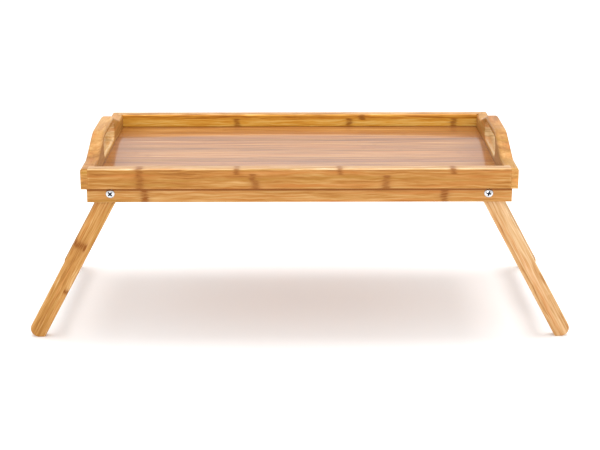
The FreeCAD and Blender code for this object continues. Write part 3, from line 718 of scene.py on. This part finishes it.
for side, sign in (("left", -1), ("right", 1)):
    pivot = next(tuple(joint["pos_m"]) for joint in frame["joints"] if joint["child"] == side + "_legs")
    inLeg = {"grain": "z", "across": "x", "tilt": -sign * splay, "pivot": pivot}
    for end, seed in (("front", 41.0), ("back", 47.0)):
        name = "%s_%s_leg" % (end, side)
        near, far = (corner.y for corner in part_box(name))
        low, high = (-legHalf, near, -legReach), (legHalf, far, legHalf)
        look = {**inLeg, **leg, **legChanges[name]}
        look.update(seed=seed + sign, tones=legTones[side], lift=0.05 * sign)
        dressNode(name, makeBamboo(name + "_bamboo", low, high, **look))
    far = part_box(side + "_crossbar")[1].y
    low = (-crossbarSize["halfThick"], -far, crossbarSize["bottom"])
    high = (crossbarSize["halfThick"], far, crossbarSize["top"])
    look = {**inLeg, **crossbar, "seed": 53.0 + sign}
    dressNode(side + "_crossbar", makeBamboo(side + "_crossbar_bamboo", low, high, **look))
    low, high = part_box(side + "_crossbar_dowels")
    dressNode(side + "_crossbar_dowels", makeBamboo(side + "_dowel_wood", low, high, **dowel))
print("bamboo dressed")

# Metal and nylon: duller in patches, with fine scuffs; scuffScale is how close together the patches are

brightPlate = {"colour": (0.70, 0.71, 0.73), "roughness": 0.14, "scuffScale": 900, "metallic": 1.0}
# Painted shade: a near-black steel for the cross recesses, standing in for the shadow inside them.
shadedRecess = {"colour": (0.035, 0.04, 0.06), "roughness": 0.42, "scuffScale": 1400, "metallic": 1.0}
zincPlate = {"colour": (0.55, 0.56, 0.57), "roughness": 0.34, "scuffScale": 600, "metallic": 1.0}
clearNylon = {"colour": (0.62, 0.70, 0.76), "roughness": 0.42, "scuffScale": 500, "metallic": 0.0}
dullShare = 0.72


def makeFinish(name, look):
    material, tree, shader = newMaterial(name)
    coords = tree.nodes.new("ShaderNodeTexCoord").outputs["Object"]
    noises = []
    for scale in (look["scuffScale"], look["scuffScale"] * 5):
        noise = tree.nodes.new("ShaderNodeTexNoise")
        tree.links.new(coords, noise.inputs["Vector"])
        noise.inputs["Scale"].default_value = scale
        noise.inputs["Detail"].default_value = 4
        noises.append(noise.outputs["Fac"])
    scuffs, fine = noises
    rough = addAll(tree, look["roughness"], scaled(tree, scuffs, 0.20), scaled(tree, fine, 0.10))
    tree.links.new(rough, shader.inputs["Roughness"])
    dull = (*(part * dullShare for part in look["colour"]), 1)
    shade = mixColour(tree, fadeIn(tree, scuffs, 0.35, 0.75), (*look["colour"], 1), dull)
    tree.links.new(shade, shader.inputs["Base Color"])
    shader.inputs["Metallic"].default_value = look["metallic"]
    bump = addBump(tree, fine, 0.15, 0.00005)
    tree.links.new(bump.outputs["Normal"], shader.inputs["Normal"])
    return material


brightSteel = makeFinish("brightSteel", brightPlate)
recessShadeSteel = makeFinish("recessShadeSteel", shadedRecess)
zincSteel = makeFinish("zincSteel", zincPlate)
nylon = makeFinish("nylon", clearNylon)

# Turned hardware, built on its own axis with the outer end at zero and the rest below


def stackRings(shape, rings, sides, ends):
    # Loops of vertices from one end to the other, bridged. "capped" ends are closed by a face each,
    # and "looped" ones are bridged to each other, for a ring.
    loops = []
    for radius, height in rings:
        made = bmesh.ops.create_circle(shape, cap_ends=False, segments=sides, radius=1)["verts"]
        for vert in made:
            angle = math.atan2(vert.co.y, vert.co.x)
            reach = radius(angle) if callable(radius) else radius
            rise = height(angle) if callable(height) else height
            vert.co = (reach * math.cos(angle), reach * math.sin(angle), rise)
        loops.append(list(dict.fromkeys(edge for vert in made for edge in vert.link_edges)))
    walls = []
    nextLoops = loops[1:] + loops[:1] if ends == "looped" else loops[1:]
    for first, second in zip(loops, nextLoops):
        walls.append(bmesh.ops.bridge_loops(shape, edges=first + second)["faces"])
    if ends == "capped":
        for loop in (loops[0], loops[-1]):
            walls.append(bmesh.ops.contextual_create(shape, geom=loop)["faces"])
    return walls


def crossAt(reach, halfWidth):
    # Distance from the middle to the outline of a cross with four equal arms, by angle.
    def outline(angle):
        turned = abs((angle + math.pi / 4) % (math.pi / 2) - math.pi / 4)
        if turned < math.atan2(halfWidth, reach):
            return reach / math.cos(turned)
        return halfWidth / math.sin(turned)

    return outline


def hexagonAt(halfFlats):
    # Distance from the middle to the outline of a hexagon, by angle.
    def outline(angle):
        turned = (angle + math.pi / 6) % (math.pi / 3) - math.pi / 6
        return halfFlats / math.cos(turned)

    return outline


def recessRings(reach, halfWidth, rise, depth):
    # A tapered cross recess, from its floor up to its rim.
    rings = []
    for share, sunk in ((0.55, 1.0), (0.80, 0.55), (0.92, 0.10), (1.0, 0.0)):
        rings.append((crossAt(reach * share, halfWidth * share), rise - depth * sunk))
    return rings


def shadeRecess(walls, recess):
    # The walls of the recess, and the cap on its floor, which comes last but one, take the second material,
    # a dark steel that paints the shade inside the recess.
    for faces in walls[:len(recess) - 1] + walls[-2:-1]:
        for face in faces:
            face.material_index = 1


def threadRings(radius, depth, top, bottom, pitch):
    rings = []
    turns = int((top - bottom) / pitch)
    for turn in range(turns):
        rings.append((radius - depth, top - pitch * turn))
        rings.append((radius, top - pitch * (turn + 0.4)))
        rings.append((radius, top - pitch * (turn + 0.6)))
    return rings + [(radius - depth, top - pitch * turns)]


pivotBolt = {
    "head": 0.0052,
    "dome": 0.0021,
    "brim": 0.0026,  # the depth of the head, where the shank starts
    "shank": 0.0025,
    "length": 0.0346,
    "thread": (0.0055, 0.0010),  # start and end, above the tip
    "pitch": 0.0005,
    "threadDepth": 0.0003,
    "recess": 0.00275,
    "arm": 0.00092,
    "depth": 0.0019,
}


def buildBolt(shape):
    look = pivotBolt
    radius = (look["head"] ** 2 + look["dome"] ** 2) / (2 * look["dome"])

    def domeAt(reach):
        return math.sqrt(radius ** 2 - reach ** 2) - radius

    recess = recessRings(look["recess"], look["arm"], domeAt(look["recess"]) + 0.0001, look["depth"])
    dome = [(reach, domeAt(reach)) for reach in (0.0030, 0.0036, 0.0042, 0.0047, 0.0050)]
    head = look["head"]
    brim = [(0.00518, -0.00218), (head, -0.00235), (head, -0.00252), (0.00512, -look["brim"])]
    tip = -look["length"]
    start, end = (tip + height for height in look["thread"])
    thread = threadRings(look["shank"], look["threadDepth"], start, end, look["pitch"])
    shank = [(look["shank"], -look["brim"])] + thread + [(look["shank"] - 0.0007, tip)]
    shadeRecess(stackRings(shape, recess + dome + brim + shank, 64, "capped"), recess)


def buildWasher(bore, rim, thick):
    def build(shape):
        soft = thick * 0.18
        top = [(bore, -soft), (bore + soft, 0), (rim - soft * 2, 0), (rim, -soft * 1.5)]
        under = [(rim, -thick + soft), (rim - soft, -thick), (bore + soft, -thick), (bore, -thick + soft)]
        stackRings(shape, top + under, 64, "looped")

    return build


lockNut = {
    "halfFlats": 0.0040,
    "height": 0.0038,
    "chamfer": 28,  # degrees
    "collar": 0.0037,
    "top": 0.0050,
    "bore": 0.00255,
    "ring": 0.0031,
}


def buildNut(shape):
    look = lockNut
    bore, collar, seat, height, top = (look[key] for key in ("bore", "collar", "ring", "height", "top"))
    hexagon = hexagonAt(look["halfFlats"])
    flat = look["halfFlats"] - 0.0001
    slope = math.tan(math.radians(look["chamfer"]))

    def lowChamfer(angle):
        return -(hexagon(angle) - look["halfFlats"] + 0.0001) * slope

    def highChamfer(angle):
        return -height - lowChamfer(angle)

    face = [(bore, -0.0003), (bore + 0.0004, 0), (flat, 0)]
    sides = [(hexagon, lowChamfer), (hexagon, highChamfer), (flat, -height)]
    outside = [(collar, -height), (collar, -top + 0.0004), (collar - 0.0003, -top)]
    inside = [(seat, -top + 0.0001), (seat, -height), (bore, -height)]
    stackRings(shape, face + sides + outside + inside, 72, "looped")


def buildNylon(shape):
    look = lockNut
    bore, rim, height, top = (look[key] for key in ("bore", "ring", "height", "top"))
    soft = 0.0002
    outside = [(bore, -height), (rim, -height), (rim, -top + 0.0003 + soft), (rim - soft, -top + 0.0003)]
    inside = [(bore + soft, -top + 0.0003), (bore, -top + 0.0003 + soft)]
    stackRings(shape, outside + inside, 72, "looped")


woodScrew = {
    "head": 0.0027,
    "shank": 0.0015,
    "length": 0.030,
    "smooth": 0.0095,  # the depth where the bare shank ends
    "thread": (0.010, 0.0265),  # start and end, below the top of the head
    "pitch": 0.0013,
    "threadDepth": 0.0004,
    "recess": 0.0016,
    "arm": 0.00042,
    "depth": 0.0012,
}


def buildScrew(shape):
    look = woodScrew
    recess = recessRings(look["recess"], look["arm"], -0.00005, look["depth"])
    head = [(0.0019, 0.0), (0.0025, -0.00002), (look["head"], -0.00015), (look["shank"], -0.00125)]
    start, end = (-depth for depth in look["thread"])
    thread = threadRings(look["shank"], look["threadDepth"], start, end, look["pitch"])
    shank = [(look["shank"], -look["smooth"])] + thread + [(0.0001, -look["length"])]
    shadeRecess(stackRings(shape, recess + head + shank, 48, "capped"), recess)


sharpFrom = math.radians(32)


def makePiece(name, build, places, materials, replaced):
    whole = bmesh.new()
    for place in places:
        part = bmesh.new()
        build(part)
        bmesh.ops.transform(part, matrix=place, verts=part.verts)
        copy = bpy.data.meshes.new("copy")
        part.to_mesh(copy)
        part.free()
        whole.from_mesh(copy)
        bpy.data.meshes.remove(copy)
    bmesh.ops.recalc_face_normals(whole, faces=whole.faces)
    for face in whole.faces:
        face.smooth = True
    for edge in whole.edges:
        edge.smooth = edge.calc_face_angle(math.pi) < sharpFrom
    mesh = bpy.data.meshes.new(name)
    whole.to_mesh(mesh)
    whole.free()
    for material in materials:
        mesh.materials.append(material)
    piece = bpy.data.objects.new(name, mesh)
    bpy.context.scene.collection.objects.link(piece)
    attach(piece, "tray")
    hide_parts(replaced)


def onPivot(node, turn):
    # The front and the back place of a pair on a pivot line, outer ends on the faces of the CAD node.
    low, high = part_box(node)
    middle = (low + high) / 2
    places = []
    for end in (-1, 1):
        stand = Matrix.Translation((middle.x, end * high.y, middle.z))
        places.append(stand @ Matrix.Rotation(-end * math.pi / 2, 4, "X") @ Matrix.Rotation(turn, 4, "Z"))
    return places


buildSpacer = buildWasher(lockNut["bore"], 0.0065, 0.001)
buildNutRing = buildWasher(lockNut["bore"], 0.005, 0.001)
pivotPieces = (
    ("TrussBolts", buildBolt, True, (brightSteel, recessShadeSteel), "bright_steel", "_pivot_bolts"),
    ("SpacerRings", buildSpacer, False, (nylon,), "nylon", "_spacer_washers"),
    ("NutRings", buildNutRing, False, (zincSteel,), "zinc_steel", "_nut_washers"),
    ("LockNuts", buildNut, True, (zincSteel,), "zinc_steel", "_lock_nuts"),
    ("LockRings", buildNylon, True, (nylon,), "nylon", "_lock_nuts"),
)
for side, turn in (("left", 0.74), ("right", -0.25)):
    for ending, build, turned, materials, slotName, node in pivotPieces:
        places = onPivot(side + node, turn if turned else 0)
        makePiece(side + ending, build, places, materials, side + node)


def underneath(xs, ys, height):
    # Places on the underside, head down, each turned a different way.
    flip = Matrix.Rotation(math.pi, 4, "X")
    places = []
    for x in xs:
        for y in ys:
            turn = Matrix.Rotation(40 * x + 90 * y, 4, "Z")
            places.append(Matrix.Translation((x, y, height)) @ turn @ flip)
    return places


for node, middles in (("lower_rail_screws", [0.0]), ("stop_rail_screws", [])):
    low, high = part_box(node)
    inset = woodScrew["head"]
    xs = [low.x + inset] + middles + [high.x - inset]
    ys = [low.y + inset, high.y - inset]
    places = underneath(xs, ys, low.z)
    name = node.split("_")[0] + "WoodScrews"
    makePiece(name, buildScrew, places, (zincSteel, recessShadeSteel), node)
dressNode("corner_brads", zincSteel)
print("hardware ready")
